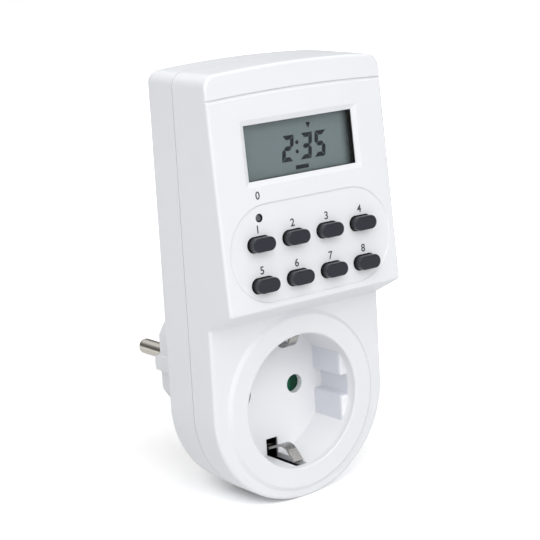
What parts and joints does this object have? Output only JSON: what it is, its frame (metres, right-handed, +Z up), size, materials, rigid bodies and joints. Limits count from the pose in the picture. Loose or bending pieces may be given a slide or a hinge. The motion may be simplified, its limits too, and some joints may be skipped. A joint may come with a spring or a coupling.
{
  "type": "digital timer switch",
  "caption": "White plug-in digital timer with a sloping head, a display, dark press keys, and a round earthed socket with guide ribs and a shutter below.",
  "frame": {"origin": "middle of the plug's end face, between its two pins", "axes": "+Y along the pins into the wall, +Z up, +X to the right seen from the front"},
  "size_m": [0.061, 0.0783, 0.1264],
  "materials": {
    "shell_white": "satin",
    "key_grey": "matte",
    "window_clear": "clear gloss",
    "display_glass": "satin",
    "frame_black": "matte",
    "mat_rubber": "matte",
    "board_green": "satin",
    "component_black": "matte",
    "capacitor_red": "satin",
    "can_aluminium": "satin",
    "ribbon_grey": "matte",
    "nickel": "satin",
    "contact_brass": "satin",
    "screw_steel": "satin",
    "shutter_green": "satin",
    "cover_grey": "matte",
    "spring_steel": "satin",
    "lead_brown": "satin",
    "lead_blue": "satin"
  },
  "bodies": {
    "housing": {"front_shell": "shell_white", "rear_shell": "shell_white", "display_window": "window_clear", "lcd_frame": "frame_black", "lcd_panel": "display_glass", "zebra_strips": "mat_rubber", "keypad_mat": "mat_rubber", "display_board": "board_green", "controller_chip": "component_black", "backup_cell": "screw_steel", "display_board_screws": "screw_steel", "power_board": "board_green", "relay": "component_black", "dropper_capacitor": "capacitor_red", "smoothing_capacitors": "can_aluminium", "board_link": "ribbon_grey", "power_board_screws": "screw_steel", "earth_bar": "nickel", "shutter_cover": "cover_grey", "shutter_spring": "spring_steel", "line_pin": "nickel", "neutral_pin": "nickel", "upper_plug_earth": "nickel", "lower_plug_earth": "nickel", "line_contact": "contact_brass", "neutral_contact": "contact_brass", "line_strap": "contact_brass", "neutral_strap": "contact_brass", "line_wire": "lead_brown", "neutral_wire": "lead_blue", "load_wire": "lead_brown", "housing_screws": "screw_steel"},
    "clock_button": {"clock_button": "key_grey"},
    "program_button": {"program_button": "key_grey"},
    "mode_button": {"mode_button": "key_grey"},
    "random_button": {"random_button": "key_grey"},
    "day_button": {"day_button": "key_grey"},
    "hour_button": {"hour_button": "key_grey"},
    "minute_button": {"minute_button": "key_grey"},
    "recall_button": {"recall_button": "key_grey"},
    "reset_button": {"reset_button": "key_grey"},
    "shutter": {"shutter": "shutter_green"},
    "upper_earth_clip": {"upper_earth_clip": "nickel"},
    "lower_earth_clip": {"lower_earth_clip": "nickel"}
  },
  "joints": [
    {"name": "clock_press", "type": "slide", "parent": "housing", "child": "clock_button", "axis": [0, 0.996, -0.0889], "range_m": [0, 0.0009], "stiffness_N_per_m": 1500},
    {"name": "program_press", "type": "slide", "parent": "housing", "child": "program_button", "axis": [0, 0.996, -0.0889], "range_m": [0, 0.0009], "stiffness_N_per_m": 1500},
    {"name": "mode_press", "type": "slide", "parent": "housing", "child": "mode_button", "axis": [0, 0.996, -0.0889], "range_m": [0, 0.0009], "stiffness_N_per_m": 1500},
    {"name": "random_press", "type": "slide", "parent": "housing", "child": "random_button", "axis": [0, 0.996, -0.0889], "range_m": [0, 0.0009], "stiffness_N_per_m": 1500},
    {"name": "day_press", "type": "slide", "parent": "housing", "child": "day_button", "axis": [0, 0.996, -0.0889], "range_m": [0, 0.0009], "stiffness_N_per_m": 1500},
    {"name": "hour_press", "type": "slide", "parent": "housing", "child": "hour_button", "axis": [0, 0.996, -0.0889], "range_m": [0, 0.0009], "stiffness_N_per_m": 1500},
    {"name": "minute_press", "type": "slide", "parent": "housing", "child": "minute_button", "axis": [0, 0.996, -0.0889], "range_m": [0, 0.0009], "stiffness_N_per_m": 1500},
    {"name": "recall_press", "type": "slide", "parent": "housing", "child": "recall_button", "axis": [0, 0.996, -0.0889], "range_m": [0, 0.0009], "stiffness_N_per_m": 1500},
    {"name": "reset_press", "type": "slide", "parent": "housing", "child": "reset_button", "axis": [0, 0.996, -0.0889], "range_m": [0, 0.0009], "stiffness_N_per_m": 1000},
    {"name": "shutter_turn", "type": "hinge", "parent": "housing", "child": "shutter", "pos_m": [0, -0.029, -0.0065], "axis": [0, -1, 0], "range_deg": [0, 40], "stiffness_Nm_per_rad": 0.01, "deforming": ["shutter_spring"]},
    {"name": "upper_clip_flex", "type": "hinge", "parent": "housing", "child": "upper_earth_clip", "pos_m": [0, -0.0302, 0.011], "axis": [-1, 0, 0], "range_deg": [0, 10], "stiffness_Nm_per_rad": 0.3},
    {"name": "lower_clip_flex", "type": "hinge", "parent": "housing", "child": "lower_earth_clip", "pos_m": [0, -0.0302, -0.024], "axis": [1, 0, 0], "range_deg": [0, 10], "stiffness_Nm_per_rad": 0.3}
  ]
}
